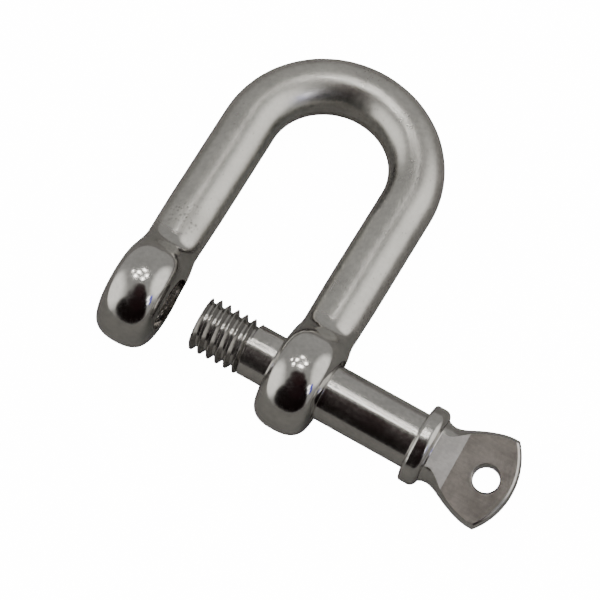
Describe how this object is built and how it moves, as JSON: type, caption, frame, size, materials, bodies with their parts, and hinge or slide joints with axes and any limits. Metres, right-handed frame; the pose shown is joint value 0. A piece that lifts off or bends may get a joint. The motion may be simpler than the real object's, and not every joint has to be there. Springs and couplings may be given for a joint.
{
  "type": "screw pin shackle",
  "caption": "Straight-sided D shackle of bent round bar with two rounded eyes, one tapped, and a screw pin with a collar and a drilled flat head.",
  "frame": {"origin": "on the pin's axis, midway between the shackle's two straight legs and on its mid plane", "axes": "+X along the pin towards its flat head, +Y from the pin to the crown, +Z square to the flat shackle, the side that faces up as it lies"},
  "size_m": [0.046, 0.0409, 0.0114],
  "materials": {
    "body_steel": "stainless steel, satin and finely pitted on the bar, polished on the eyes",
    "pin_steel": "stainless steel, turned, with satin flats"
  },
  "bodies": {
    "body": {"shackle_body": "body_steel"},
    "collar": {"pin_collar": "pin_steel"},
    "pin": {"screw_pin": "pin_steel"}
  },
  "joints": [
    {"name": "pin_advance", "type": "slide", "parent": "body", "child": "collar", "axis": [1, 0, 0], "range_m": [-0.0102, 0.015]},
    {"name": "pin_turn", "type": "hinge", "parent": "collar", "child": "pin", "pos_m": [0.0236, 0, 0], "axis": [1, 0, 0], "range_deg": [-3673, 5401]}
  ],
  "couplings": [
    {"joint": "pin_turn", "follows": "pin_advance", "rad_per_m": 6283.2}
  ]
}
